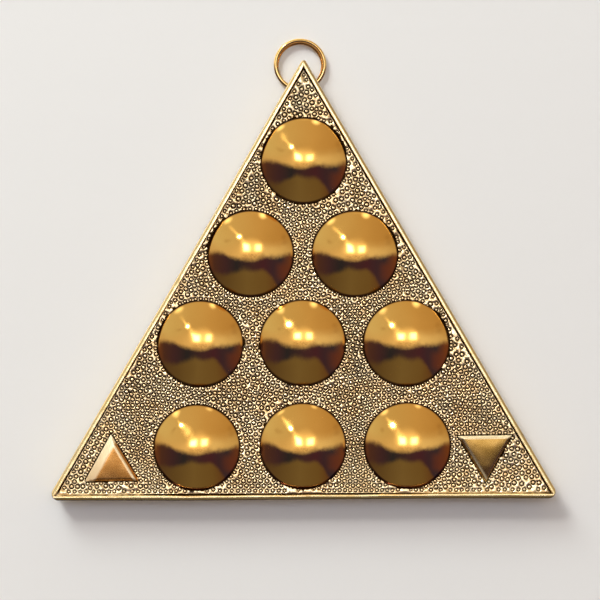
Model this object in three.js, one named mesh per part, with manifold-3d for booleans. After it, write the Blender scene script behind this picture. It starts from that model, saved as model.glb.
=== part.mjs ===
// A triangular brass wall plaque that hangs by a ring: a wooden back board with a punched brass
// face sheet, a mitred rim folded round the board's edge, nine polished domes in four rows, a
// raised triangle in each lower corner, a loose ring held by a folded strap on the back, and a
// felt glued to the back so that the folded lips and the tacks stay clear of the wall.
//
// Millimetres. +X is to the right as the plaque is looked at, +Z is up, and the face looks
// along -Y. The back of the felt lies in the plane y = 0, and the origin is on it.

import * as THREE from 'three';
import { mergeVertices, toCreasedNormals } from 'three/addons/utils/BufferGeometryUtils.js';
import Module from 'manifold-3d';

const wasm = await Module();
wasm.setup();

// Domes
const dome_radius = 19.2;
const dome_rise = 7.4;
const dome_wall = 0.6;
const dome_spacing = 8.6; // clear width between two neighbours in a row
const row_ease = 0.4; // extra drop between the nested upper rows
const dome_gap = 1.0; // from the edge of a dome to the groove beside the rim
const bottom_gap = 1.5; // the same for the bottom row and the groove below it
const top_domes_per_row = [1, 2, 3];
const bottom_row_domes = 3;
// The domes were laid by hand: how far each one sits from its place, across and up.
const dome_shifts = [
  [0.1, -0.4],
  [-0.4, -1.1], [-0.4, -1.2],
  [0.4, -0.6], [-0.5, -0.2], [-0.7, -0.3],
  [-1.1, -0.2], [-0.3, 0.3], [-0.2, 0.3],
];

// Outline, which follows from the domes and the rim
const apex_angle = 60.2; // degrees
const base_rise = 1.1; // the right corner stands this much above the left one
const apex_rounding = 1.2; // radius
const base_corner_rounding = 3; // radius, these two are more worn

// Board and face sheet
const board_thickness = 8;
const sheet_thickness = 0.5;

// Rim: a half-round bead on the face, a skirt down the edge and a lip folded over the back
const bead_width = 2.3;
const bead_height = 1.8;
const bead_foot = 0.4; // straight part of the bead's height, below its round top
const bead_flat = 0.3; // width left flat along the crest
const rim_wall = 0.6;
const lip_width = 2.6;
const groove_width = 0.7; // dark line between the bead and the punched ground
const edge_gap = 0.2; // board and sheet stand this far clear of the skirt
const mitre_gap = 0.15; // each strip stands this far out from the mitre lines

// Raised corner triangles
const boss_side = 24.4;
const boss_rise = 1.6;
const boss_bevel = 2.2; // width of the sloping border
const boss_crown = 0.35; // how much the middle of the face swells
const boss_wall = 0.5;
const boss_turn = 1; // degrees, set a little askew
const up_boss_base_gap = 5.7; // from the bottom groove to the lower side
const up_boss_side_gap = 7.3; // from the left groove to the left side
const down_boss_tip_gap = 4.3; // from the bottom groove to the tip
const down_boss_corner_gap = 1.6; // from the right groove to the right corner

// Ring and strap
const ring_outer_diameter = 24;
const ring_wire = 2;
const strap_width = 4.1;
const strap_layer = 0.8;
const strap_tail = 17.2; // from the middle of the eye to the strap's end
const eye_clearance = 0.45; // radial, so that the bent wire turns freely
const eye_shift = -1.6; // the strap sits this far to one side of the apex
const strap_lip_gap = 0.3;

// Felt on the back, inside the lips and below the reach of the folded ring
const felt_thickness = 1.2; // more than a lip and a tack's head together
const felt_lip_gap = 1.5;
const felt_ring_gap = 1.5;

// Nails and tacks
const nail_head_radius = 1.5;
const nail_head_height = 0.7;
const nail_shank_radius = 0.7;
const nail_depth = 5.4; // how far the shank goes into the board
const nail_end_margin = 4; // from the eye's loop, and from the strap's end, to the nails
const tack_head_radius = 0.9;
const tack_head_height = 0.45;
const tack_shank_radius = 0.45;
const tack_depth = 4.5;
const tack_from_corner = 34;
const tacks_per_side = 3;
const hole_gap = 0.15; // round every shank
const hole_bottom_gap = 0.4; // below every shank's point

// How round the round things are
const dome_sides = 36;
const dome_outer_steps = 6;
const dome_inner_steps = 3;
const bead_steps = 4;
const corner_steps = 6;
const ring_sides = 10;
const ring_steps = 36;
const nail_sides = 10;
const eye_steps = 24;
const crease_angle = Math.PI / 5; // a sharper edge than this is shaded as an edge

// Worked out from the sizes above
const face_depth = board_thickness + sheet_thickness;
const rim_total = bead_width + groove_width;
const dome_margin = rim_total + dome_gap + dome_radius;
const dome_pitch = 2 * dome_radius + dome_spacing;
const nested_drop = dome_pitch * Math.sin(Math.PI / 3) + row_ease;
const half_apex = THREE.MathUtils.degToRad(apex_angle / 2);
const bottom_row_margin = rim_total + bottom_gap + dome_radius;
const bottom_row_height = base_rise / 2 + bottom_row_margin;
const top_dome_height = bottom_row_height + dome_pitch + (top_domes_per_row.length - 1) * nested_drop;
const plaque_height = top_dome_height + dome_margin / Math.sin(half_apex);
const half_base = plaque_height * Math.tan(half_apex);
const origin_height = plaque_height / 3;
const wedge_overrun = 0.2; // the wedges that part the strips reach this share past the corners

const boss_apothem = boss_side / (2 * Math.sqrt(3));
const boss_radius = 2 * boss_apothem;

const ring_radius = (ring_outer_diameter - ring_wire) / 2;
const eye_radius = ring_wire / 2 + eye_clearance;
const loop_radius = eye_radius + strap_layer;
const tail_thickness = 2 * strap_layer;
// The strap lies on the wood between the two back lips, as high as they leave room for it.
const loop_reach = Math.sqrt(Math.max(loop_radius ** 2 - (loop_radius - rim_wall) ** 2, 0));
const strap_room = Math.abs(eye_shift) + strap_width / 2 + strap_lip_gap + lip_width / Math.cos(half_apex);
const eye_height = plaque_height - strap_room / Math.tan(half_apex) - loop_reach;

const x_axis = new THREE.Vector3(1, 0, 0);
const y_axis = new THREE.Vector3(0, 1, 0);
const z_axis = new THREE.Vector3(0, 0, 1);

// Outline geometry
// Each side runs from one corner to the next so that the plaque lies to its inward side.
const left_corner = new THREE.Vector3(-half_base, 0, 0);
const right_corner = new THREE.Vector3(half_base, 0, base_rise);
const apex = new THREE.Vector3(0, 0, plaque_height);

function makeSide(name, start, end, end_rounding) {
  const along = end.clone().sub(start);
  const length = along.length();
  along.normalize();
  const inward = y_axis.clone().cross(along);
  return { name, start, end, length, along, inward, end_rounding };
}

const bottom_side = makeSide('rim_bottom', right_corner, left_corner, base_corner_rounding);
const left_side = makeSide('rim_left', left_corner, apex, apex_rounding);
const right_side = makeSide('rim_right', apex, right_corner, base_corner_rounding);
const sides = [bottom_side, left_side, right_side];

// The point that lies at given distances inward from two sides.
function pointInside(side, distance, other, other_distance) {
  const a = side.inward;
  const b = other.inward;
  const c = distance + a.dot(side.start);
  const d = other_distance + b.dot(other.start);
  const spread = a.x * b.z - a.z * b.x;
  return new THREE.Vector3((c * b.z - d * a.z) / spread, 0, (a.x * d - b.x * c) / spread);
}

// Points of the plaque's outline, drawn in by a distance all round, with its corners rounded.
function outlinePoints(distance) {
  return sides.flatMap((side, i) => {
    const next = sides[(i + 1) % sides.length];
    const radius = Math.max(side.end_rounding - distance, 0);
    const centre = pointInside(side, distance + radius, next, distance + radius);
    if (radius === 0) return [new THREE.Vector2(centre.x, centre.z)];
    return Array.from({ length: corner_steps + 1 }, (_, k) => {
      const outward = side.inward.clone().lerp(next.inward, k / corner_steps).normalize().negate();
      return new THREE.Vector2(centre.x + radius * outward.x, centre.z + radius * outward.z);
    });
  });
}

function outline(distance) {
  return new THREE.Shape(outlinePoints(distance));
}

// The band between two outlines.
function band(outer, inner) {
  const shape = outline(outer);
  shape.holes.push(new THREE.Path(outlinePoints(inner).reverse()));
  return shape;
}

// Height of the bottom edge at a place across the plaque.
function baseHeight(x) {
  return (base_rise * (x + half_base)) / (2 * half_base);
}

// Solids that need holes
function toSolid(geometry) {
  const bare = geometry.clone();
  bare.deleteAttribute('normal');
  bare.deleteAttribute('uv');
  const merged = mergeVertices(bare);
  const vertProperties = new Float32Array(merged.attributes.position.array);
  const triVerts = new Uint32Array(merged.index.array);
  return new wasm.Manifold(new wasm.Mesh({ numProp: 3, vertProperties, triVerts }));
}

function toGeometry(solid) {
  const mesh = solid.getMesh();
  const geometry = new THREE.BufferGeometry();
  geometry.setAttribute('position', new THREE.BufferAttribute(new Float32Array(mesh.vertProperties), 3));
  geometry.setIndex(new THREE.BufferAttribute(new Uint32Array(mesh.triVerts), 1));
  return toCreasedNormals(geometry, crease_angle);
}

function cutHoles(geometry, holes) {
  const body = holes.reduce((solid, hole) => solid.subtract(toSolid(hole)), toSolid(geometry));
  return toGeometry(body);
}

// A round hole along Y between two depths.
function hole(x, z, radius, y_low, y_high) {
  const cylinder = new THREE.CylinderGeometry(radius, radius, y_high - y_low, nail_sides);
  return cylinder.translate(x, (y_low + y_high) / 2, z);
}

// Materials
function brass(colour, roughness) {
  return new THREE.MeshStandardMaterial({ color: colour, roughness, metalness: 1 });
}

const domeBrass = () => brass(0xd6a24a, 0.12);
const groundBrass = () => brass(0xb08d50, 0.42);
const rimBrass = () => brass(0xd2b06a, 0.28);
const satinBrass = () => brass(0xb98a4a, 0.4);
const ringBrass = () => brass(0xc9974a, 0.2);
const strapBrass = () => brass(0xa9823f, 0.38);
const nailBrass = () => brass(0xb89350, 0.32);
const boardWood = () => new THREE.MeshStandardMaterial({ color: 0x8c6844, roughness: 0.8, metalness: 0 });
const backFelt = () => new THREE.MeshStandardMaterial({ color: 0x3a2a26, roughness: 1, metalness: 0 });

function addMesh(parent, name, geometry, material, place = new THREE.Vector3()) {
  const mesh = new THREE.Mesh(geometry, material);
  mesh.name = name;
  mesh.position.copy(place);
  parent.add(mesh);
  return mesh;
}

// Board and face sheet
// A shape drawn in x and z, made solid from the depth y_back forwards to the face.
function plate(shape, thickness, y_back) {
  const geometry = new THREE.ExtrudeGeometry(shape, { depth: thickness, bevelEnabled: false });
  return geometry.rotateX(Math.PI / 2).translate(0, y_back, 0);
}

function boardGeometry() {
  const tack_holes = tackPlaces().map((p) => pilotHole(p, tack_shank_radius, tack_depth));
  const nail_holes = nailPlaces().map((p) => pilotHole(p, nail_shank_radius, nail_depth));
  const block = plate(outline(rim_wall + edge_gap), board_thickness, 0);
  return cutHoles(block, [...tack_holes, ...nail_holes]);
}

// The felt has straight sides along the lips and a level top edge.
function feltShape() {
  const inset = lip_width + felt_lip_gap;
  const top_height = eye_height - 2 * ring_radius - ring_wire / 2 - felt_ring_gap;
  const top_edge = { start: new THREE.Vector3(0, 0, top_height), inward: z_axis.clone().negate() };
  const corners = [
    pointInside(bottom_side, inset, left_side, inset),
    pointInside(left_side, inset, top_edge, 0),
    pointInside(top_edge, 0, right_side, inset),
    pointInside(right_side, inset, bottom_side, inset),
  ];
  return new THREE.Shape(corners.map((p) => new THREE.Vector2(p.x, p.z)));
}

function pilotHole(place, shank_radius, depth) {
  return hole(place.x, place.z, shank_radius + hole_gap, -depth - hole_bottom_gap, rim_wall);
}

// Rim
// The bead is a band with a rounded top, cut off level with the face sheet.
function beadSolid() {
  const rounding = (bead_width - bead_flat) / 2;
  const round_height = bead_height - bead_foot;
  const geometry = new THREE.ExtrudeGeometry(band(0, bead_width), {
    depth: 2 * bead_foot,
    bevelThickness: round_height,
    bevelSize: rounding,
    bevelOffset: -rounding,
    bevelSegments: bead_steps,
  });
  geometry.rotateX(Math.PI / 2).translate(0, bead_foot - face_depth, 0);
  const reach = 2 * plaque_height;
  const below = new THREE.BoxGeometry(reach, 2 * bead_height, reach);
  below.translate(0, bead_height - face_depth, plaque_height / 2);
  return toSolid(geometry).subtract(toSolid(below));
}

// The skirt runs down the edge from inside the bead's foot, and the lip lies on the back.
function wholeRim() {
  const skirt_top = -face_depth - bead_foot / 2;
  const skirt = plate(band(0, rim_wall), rim_wall - skirt_top, rim_wall);
  const lip = plate(band(0, lip_width), rim_wall, rim_wall);
  return beadSolid().add(toSolid(skirt)).add(toSolid(lip));
}

// The part of the plan that is nearest to one side, moved out by the mitre gap.
function sideWedge(side) {
  const twice_area = bottom_side.length * bottom_side.inward.dot(apex.clone().sub(right_corner));
  const in_radius = twice_area / sides.reduce((sum, { length }) => sum + length, 0);
  const centre = pointInside(bottom_side, in_radius, left_side, in_radius);
  const start = centre.clone().lerp(side.start, 1 + wedge_overrun);
  const end = centre.clone().lerp(side.end, 1 + wedge_overrun);
  const plan = [centre, start, end].map((p) => p.addScaledVector(side.inward, -mitre_gap));
  const shape = new THREE.Shape(plan.map((p) => new THREE.Vector2(p.x, p.z)));
  return toSolid(plate(shape, 4 * face_depth, 2 * face_depth));
}

function tackDistances(side) {
  const span = side.length - 2 * tack_from_corner;
  const step = span / Math.max(tacks_per_side - 1, 1);
  return Array.from({ length: tacks_per_side }, (_, i) => tack_from_corner + i * step);
}

function tackPlaces() {
  const inset = (rim_wall + lip_width) / 2;
  return sides.flatMap((side) =>
    tackDistances(side).map((distance) =>
      side.start.clone().addScaledVector(side.along, distance).addScaledVector(side.inward, inset),
    ),
  );
}

function addRim(parent) {
  const radius = tack_shank_radius + hole_gap;
  const holes = tackPlaces().map((p) => toSolid(hole(p.x, p.z, radius, -rim_wall, 2 * rim_wall)));
  const rim = holes.reduce((solid, cutter) => solid.subtract(cutter), wholeRim());
  for (const side of sides) {
    addMesh(parent, side.name, toGeometry(rim.intersect(sideWedge(side))), rimBrass());
  }
}

// Domes
// Heights run along +Y here, and the finished solid is turned to face -Y.
function capPoints(sphere_radius, sphere_centre, foot_radius, steps) {
  const foot_angle = Math.asin(foot_radius / sphere_radius);
  return Array.from({ length: steps + 1 }, (_, i) => {
    const angle = (foot_angle * i) / steps;
    return new THREE.Vector2(
      i === 0 ? 0 : sphere_radius * Math.sin(angle),
      sphere_centre + sphere_radius * Math.cos(angle),
    );
  });
}

function domeGeometry() {
  const sphere = (dome_radius ** 2 + dome_rise ** 2) / (2 * dome_rise);
  const centre = dome_rise - sphere;
  const inner = sphere - dome_wall;
  const inner_foot = Math.sqrt(inner ** 2 - centre ** 2);
  const inside = capPoints(inner, centre, inner_foot, dome_inner_steps);
  const outside = capPoints(sphere, centre, dome_radius, dome_outer_steps).reverse();
  inside[inside.length - 1].y = 0;
  outside[0].y = 0;
  return new THREE.LatheGeometry([...inside, ...outside], dome_sides);
}

function rowPlaces(count, height_at) {
  return Array.from({ length: count }, (_, i) => {
    const x = (i - (count - 1) / 2) * dome_pitch;
    return new THREE.Vector3(x, -face_depth, height_at(x));
  });
}

function domePlaces() {
  const top_rows = top_domes_per_row.flatMap((count, row) =>
    rowPlaces(count, () => top_dome_height - row * nested_drop),
  );
  const bottom_row = rowPlaces(bottom_row_domes, (x) => baseHeight(x) + bottom_row_margin);
  return [...top_rows, ...bottom_row].map((place, i) => {
    const [across, up] = dome_shifts[i] ?? [0, 0];
    return place.add(new THREE.Vector3(across, 0, up));
  });
}

function addDomes(parent) {
  domePlaces().forEach((place, i) => {
    const dome = addMesh(parent, `dome_${i + 1}`, domeGeometry(), domeBrass(), place);
    dome.rotation.z = Math.PI;
  });
}

// Raised triangles
// A three-sided turned profile: its radius is measured to the corners, so that a distance
// measured square to a side counts twice.
function bossGeometry(first_corner) {
  const face_radius = boss_radius - 2 * boss_bevel;
  const slope = Math.atan2(boss_rise, boss_bevel);
  const wall_across = boss_wall / Math.sin(slope);
  const shoulder_across = boss_wall * Math.tan(slope / 2);
  const profile = [
    new THREE.Vector2(0, boss_rise + boss_crown - boss_wall),
    new THREE.Vector2(face_radius - 2 * shoulder_across, boss_rise - boss_wall),
    new THREE.Vector2(boss_radius - 2 * wall_across, 0),
    new THREE.Vector2(boss_radius, 0),
    new THREE.Vector2(face_radius, boss_rise),
    new THREE.Vector2(0, boss_rise + boss_crown),
  ];
  return new THREE.LatheGeometry(profile, 3, first_corner);
}

function addBoss(parent, name, first_corner, place) {
  const boss = addMesh(parent, name, bossGeometry(first_corner), satinBrass(), place);
  boss.position.y = -face_depth;
  boss.rotation.set(0, -THREE.MathUtils.degToRad(boss_turn), Math.PI, 'YXZ');
}

function addBosses(parent) {
  const up_height = rim_total + up_boss_base_gap + boss_apothem;
  const up_inset = rim_total + up_boss_side_gap + boss_apothem;
  const down_height = rim_total + down_boss_tip_gap + boss_radius;
  const down_inset = rim_total + down_boss_corner_gap + boss_radius;
  addBoss(parent, 'triangle_up', 0, pointInside(bottom_side, up_height, left_side, up_inset));
  addBoss(parent, 'triangle_down', Math.PI, pointInside(bottom_side, down_height, right_side, down_inset));
}

// Nails
// The head stands on +Y of its place and the shank goes into the board.
function nailGeometry(head_radius, head_height, shank_radius, shank_length) {
  const profile = [
    new THREE.Vector2(0, -shank_length),
    new THREE.Vector2(shank_radius, -shank_length + 2 * shank_radius),
    new THREE.Vector2(shank_radius, 0),
    new THREE.Vector2(head_radius, 0),
    new THREE.Vector2(head_radius * Math.SQRT1_2, head_height * Math.SQRT1_2),
    new THREE.Vector2(0, head_height),
  ];
  return new THREE.LatheGeometry(profile, nail_sides);
}

function addTacks(parent) {
  tackPlaces().forEach((place, i) => {
    const shape = nailGeometry(tack_head_radius, tack_head_height, tack_shank_radius, tack_depth + rim_wall);
    place.y = rim_wall;
    addMesh(parent, `rim_tack_${i + 1}`, shape, nailBrass(), place);
  });
}

// Two nails hold the strap: one below the loop and one above the strap's end.
function nailPlaces() {
  const distances = [loop_radius + nail_end_margin, strap_tail - nail_end_margin];
  return distances.map((distance) => new THREE.Vector3(eye_shift, 0, eye_height - distance));
}

function addStrapNails(parent) {
  nailPlaces().forEach((place, i) => {
    const length = nail_depth + tail_thickness;
    place.y = tail_thickness;
    const shape = nailGeometry(nail_head_radius, nail_head_height, nail_shank_radius, length);
    addMesh(parent, `strap_nail_${i + 1}`, shape, nailBrass(), place);
  });
}

// Strap
// Side view of the folded strap: a loop round the eye and a doubled tail on the board.
// Distances are from the back of the board and from the middle of the eye.
function strapSection() {
  const tail_meets_loop = -Math.acos((tail_thickness - loop_radius) / loop_radius);
  const shape = new THREE.Shape();
  shape.moveTo(0, -strap_tail);
  shape.absarc(loop_radius, 0, loop_radius, Math.PI, tail_meets_loop, true);
  shape.lineTo(tail_thickness, -strap_tail);
  shape.closePath();
  const eye = new THREE.Path();
  eye.absarc(loop_radius, 0, eye_radius, 0, 2 * Math.PI, false);
  shape.holes.push(eye);
  return shape;
}

function strapGeometry() {
  const geometry = new THREE.ExtrudeGeometry(strapSection(), {
    depth: strap_width,
    bevelEnabled: false,
    curveSegments: eye_steps,
  });
  geometry.translate(0, 0, -strap_width / 2);
  geometry.applyMatrix4(new THREE.Matrix4().makeBasis(y_axis, z_axis, x_axis));
  const radius = nail_shank_radius + hole_gap;
  const holes = nailPlaces().map((p) =>
    hole(p.x - eye_shift, p.z - eye_height, radius, -strap_layer, tail_thickness + strap_layer),
  );
  return cutHoles(geometry, holes);
}

// Ring
// The ring stands up from its hinge, which runs along X through the middle of the eye.
function ringGeometry() {
  const geometry = new THREE.TorusGeometry(ring_radius, ring_wire / 2, ring_sides, ring_steps);
  return geometry.rotateX(Math.PI / 2).translate(0, 0, ring_radius);
}

function addRing(parent) {
  const hinge = new THREE.Group();
  hinge.position.set(eye_shift, loop_radius, eye_height);
  addMesh(hinge, 'hanging_ring', ringGeometry(), ringBrass());
  parent.add(hinge);
}

// The whole plaque
// Its own heights are above the lower left corner, and its depths are from the board's back.
const plaque = new THREE.Group();
plaque.position.set(0, -felt_thickness, -origin_height);

addMesh(plaque, 'back_board', boardGeometry(), boardWood());
const sheet = plate(outline(rim_wall + edge_gap), sheet_thickness, -board_thickness);
addMesh(plaque, 'face_sheet', sheet, groundBrass());
addRim(plaque);
addDomes(plaque);
addBosses(plaque);
addTacks(plaque);
const strap_place = new THREE.Vector3(eye_shift, 0, eye_height);
addMesh(plaque, 'hanger_strap', strapGeometry(), strapBrass(), strap_place);
addStrapNails(plaque);
addRing(plaque);
addMesh(plaque, 'back_felt', plate(feltShape(), felt_thickness, felt_thickness), backFelt());

const group = new THREE.Group();
group.add(plaque);

export default group;
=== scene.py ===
import math
import random

import bmesh
import bpy
import numpy as np
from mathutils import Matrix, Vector, noise
from mathutils.geometry import delaunay_2d_cdt
from mathutils.kdtree import KDTree


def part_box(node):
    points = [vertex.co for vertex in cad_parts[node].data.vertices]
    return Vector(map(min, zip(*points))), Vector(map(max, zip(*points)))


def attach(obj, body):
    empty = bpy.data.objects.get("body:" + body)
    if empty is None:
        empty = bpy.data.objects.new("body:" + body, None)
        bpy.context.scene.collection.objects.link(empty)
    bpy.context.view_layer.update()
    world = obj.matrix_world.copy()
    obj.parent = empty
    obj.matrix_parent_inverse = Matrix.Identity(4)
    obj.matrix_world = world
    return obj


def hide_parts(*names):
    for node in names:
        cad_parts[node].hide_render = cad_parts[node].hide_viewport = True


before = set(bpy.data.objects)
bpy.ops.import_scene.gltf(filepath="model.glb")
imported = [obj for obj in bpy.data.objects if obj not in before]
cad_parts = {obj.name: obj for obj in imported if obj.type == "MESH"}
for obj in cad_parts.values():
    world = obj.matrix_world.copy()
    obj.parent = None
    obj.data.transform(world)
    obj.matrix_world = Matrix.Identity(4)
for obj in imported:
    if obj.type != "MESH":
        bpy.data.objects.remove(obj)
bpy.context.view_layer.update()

# Lengths are in millimetres unless a name says otherwise. Depths are along Y, and the face of
# the plaque looks along -Y. A place in plan is (x, z).
MM = 0.001

# Sizes that the solids have too
HALF_BASE = 115.772
PLAQUE_HEIGHT = 199.717
BASE_RISE = 1.1
ORIGIN_HEIGHT = PLAQUE_HEIGHT / 3
FELT = 1.2
BOARD_BACK = -FELT
BOARD = 8.0
SHEET = 0.5
FACE = BOARD_BACK - BOARD - SHEET
BEAD_WIDTH = 2.3
BEAD_FOOT = 0.4
RIM_WALL = 0.6
LIP_WIDTH = 2.6
EDGE_GAP = 0.2
GROOVE_WIDTH = 0.7
BASE_ROUNDING = 3.0
APEX_ROUNDING = 1.2
DOME_RADIUS = 19.2
DOME_RISE = 7.4
DOME_WALL = 0.6
BOSS_SIDE = 24.4
BOSS_TURN = 1.0  # degrees
RING_RADIUS = 11.0
WIRE_RADIUS = 1.0
EYE_RADIUS = 1.45
STRAP_LAYER = 0.8
STRAP_WIDTH = 4.1
FELT_LIP_GAP = 1.5
# Head radius, head height and shank radius
NAIL_SIZES = {"rim_tack": (0.9, 0.45, 0.45), "strap_nail": (1.5, 0.7, 0.7)}

random.seed(9)


def vec2(x, z):
    return Vector((x, z))


def clamp(share):
    return min(1.0, max(0.0, share))


def wobble(x, y, z, size, seed=0.0):
    """Smooth noise from -1 to 1 that changes over the given size."""
    return noise.noise(Vector((x / size + seed, y / size + 1.7 * seed, z / size - seed)))


def node_centre(name):
    low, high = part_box(name)
    return (low + high) / (2 * MM)


def node_box(name):
    low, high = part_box(name)
    return low / MM, high / MM


# Outline
LEFT = vec2(-HALF_BASE, -ORIGIN_HEIGHT)
RIGHT = vec2(HALF_BASE, BASE_RISE - ORIGIN_HEIGHT)
APEX = vec2(0, PLAQUE_HEIGHT - ORIGIN_HEIGHT)


class Side:
    """A side of the triangle. The plaque lies to its inward side."""

    def __init__(self, node, start, end, roundings):
        self.node = node
        self.start = start
        self.length = (end - start).length
        self.along = (end - start).normalized()
        self.inward = vec2(self.along.y, -self.along.x)
        self.roundings = roundings  # at its start and end


BOTTOM = Side("rim_bottom", RIGHT, LEFT, (BASE_ROUNDING, BASE_ROUNDING))
LEFT_SIDE = Side("rim_left", LEFT, APEX, (BASE_ROUNDING, APEX_ROUNDING))
RIGHT_SIDE = Side("rim_right", APEX, RIGHT, (APEX_ROUNDING, BASE_ROUNDING))
SIDES = [BOTTOM, LEFT_SIDE, RIGHT_SIDE]
CORNER_SHARPENING = 1.8  # how fast a corner's rounding shrinks inwards


def point_inside(side, other, distance):
    """The point that lies at one distance inside both sides."""
    a, b = side.inward, other.inward
    c, d = distance + a.dot(side.start), distance + b.dot(other.start)
    spread = a.x * b.y - a.y * b.x
    return vec2((c * b.y - d * a.y) / spread, (a.x * d - b.x * c) / spread)


def corner_circle(side, other, distance, rounding, least):
    """Middle and radius of a corner's rounding, on the line at a distance inside the sides."""
    radius = max(rounding - CORNER_SHARPENING * distance, least)
    return point_inside(side, other, distance + radius), radius


def distance_inside(p):
    """How far a point is from the nearest side, negative outside."""
    return min((p - s.start).dot(s.inward) for s in SIDES)


def outline(distance, steps=8):
    points = []
    for i, side in enumerate(SIDES):
        other = SIDES[(i + 1) % 3]
        centre, radius = corner_circle(side, other, distance, side.roundings[1], 0.05)
        for k in range(steps + 1):
            points.append(centre - radius * side.inward.lerp(other.inward, k / steps).normalized())
    return points


def subdivided(loop, step):
    fine = []
    for k, p in enumerate(loop):
        q = loop[(k + 1) % len(loop)]
        pieces = max(1, round((q - p).length / step))
        fine.extend(p.lerp(q, m / pieces) for m in range(pieces))
    return fine


def base_end_share(x):
    """0 along the middle of the lower side, 1 near its ends, where its seam is cleaner."""
    return clamp((abs(x + 8) - 50) / 15)


# Meshes
def add_piece(name, vertices, faces, material, slot, node, body="plaque", sharp_angle=None, **layers):
    """Adds a closed mesh in the place of a solid. Each layer holds a number for every vertex."""
    mesh = bpy.data.meshes.new(name)
    mesh.from_pydata([tuple(c * MM for c in v) for v in vertices], [], faces)
    mesh.validate()
    mesh.update()
    piece = bpy.data.objects.new(name, mesh)
    bpy.context.scene.collection.objects.link(piece)
    mesh.materials.append(material)
    for polygon in mesh.polygons:
        polygon.use_smooth = True
    for layer, values in layers.items():
        mesh.attributes.new(layer, "FLOAT", "POINT").data.foreach_set("value", values)
    work = bmesh.new()
    work.from_mesh(mesh)
    bmesh.ops.recalc_face_normals(work, faces=work.faces[:])
    work.to_mesh(mesh)
    work.free()
    if sharp_angle is not None:
        mesh.set_sharp_from_angle(angle=math.radians(sharp_angle))
    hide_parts(node)
    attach(piece, body)
    return piece


def grid_faces(rows, columns, close_rows=False, close_columns=False):
    faces = []
    for i in range(rows if close_rows else rows - 1):
        n = (i + 1) % rows
        for j in range(columns if close_columns else columns - 1):
            k = (j + 1) % columns
            faces.append((i * columns + j, i * columns + k, n * columns + k, n * columns + j))
    return faces


def close_behind(vertices, faces, border, y):
    """Adds a wall from a border to a flat back at the depth y."""
    back = []
    for v in border:
        back.append(len(vertices))
        vertices.append((vertices[v][0], y, vertices[v][2]))
    for k, v in enumerate(border):
        m = (k + 1) % len(border)
        faces.append((v, border[m], back[m], back[k]))
    faces.append(tuple(back))


def turned(profile, centre, sides, outward):
    """A turned solid about Y. Heights run away from the wall if outward is -1, to it if 1."""
    vertices, faces, rows = [], [], []
    for radius, height in profile:
        y = centre[1] + outward * height
        if radius < 1e-6:
            rows.append([len(vertices)])
            vertices.append((centre[0], y, centre[2]))
            continue
        rows.append(list(range(len(vertices), len(vertices) + sides)))
        for k in range(sides):
            a = math.tau * k / sides
            vertices.append((centre[0] + radius * math.cos(a), y, centre[2] + radius * math.sin(a)))
    for low, high in zip(rows, rows[1:]):
        for k in range(sides):
            m = (k + 1) % sides
            corners = (low[k % len(low)], low[m % len(low)], high[m % len(high)], high[k % len(high)])
            faces.append(tuple(dict.fromkeys(corners)))
    return vertices, faces


# Materials
class Value:
    """What a node gives out. Arithmetic with it adds math nodes."""

    def __init__(self, nodes, socket):
        self.nodes, self.socket = nodes, socket

    def __add__(self, other):
        return self.nodes.math("ADD", self, other)

    def __sub__(self, other):
        return self.nodes.math("SUBTRACT", self, other)

    def __rsub__(self, other):
        return self.nodes.math("SUBTRACT", other, self)

    def __mul__(self, other):
        return self.nodes.math("MULTIPLY", self, other)

    def __truediv__(self, other):
        return self.nodes.math("DIVIDE", self, other)

    def __abs__(self):
        return self.nodes.math("ABSOLUTE", self)


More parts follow.
